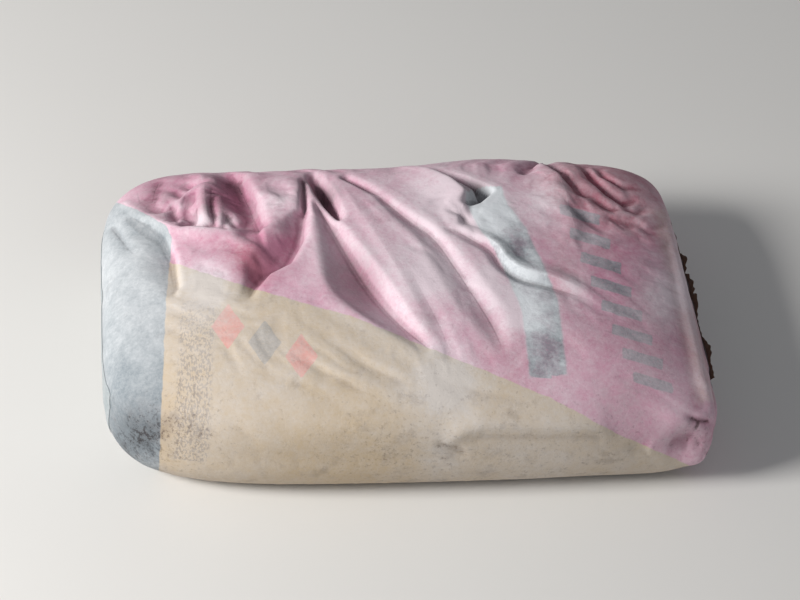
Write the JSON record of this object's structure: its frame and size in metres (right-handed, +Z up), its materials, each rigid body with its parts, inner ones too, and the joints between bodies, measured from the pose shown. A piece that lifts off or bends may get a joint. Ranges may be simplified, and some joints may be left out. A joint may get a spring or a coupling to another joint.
{
  "type": "filled paper cement sack",
  "caption": "Filled block-bottom paper cement sack lying flat, plump at one end and slack at the other, with deep paper folds, pasted end covers and a folded valve flap.",
  "frame": {"origin": "middle of the bounding box of the footprint, on the floor the sack lies on", "axes": "+X along the sack's length towards its slack right end, +Y across its width towards the far side with the valve flap, +Z up"},
  "size_m": [0.625, 0.43, 0.155],
  "materials": {
    "printed_kraft_paper": "matte printed kraft paper under cement dust",
    "dusty_cover_paper": "matte kraft paper under cement dust",
    "kraft_valve_paper": "plain matte kraft paper"
  },
  "bodies": {
    "root": {"filled_sack": "printed_kraft_paper", "end_cover_left": "dusty_cover_paper", "end_cover_right": "dusty_cover_paper", "valve_flap": "kraft_valve_paper"}
  },
  "joints": []
}
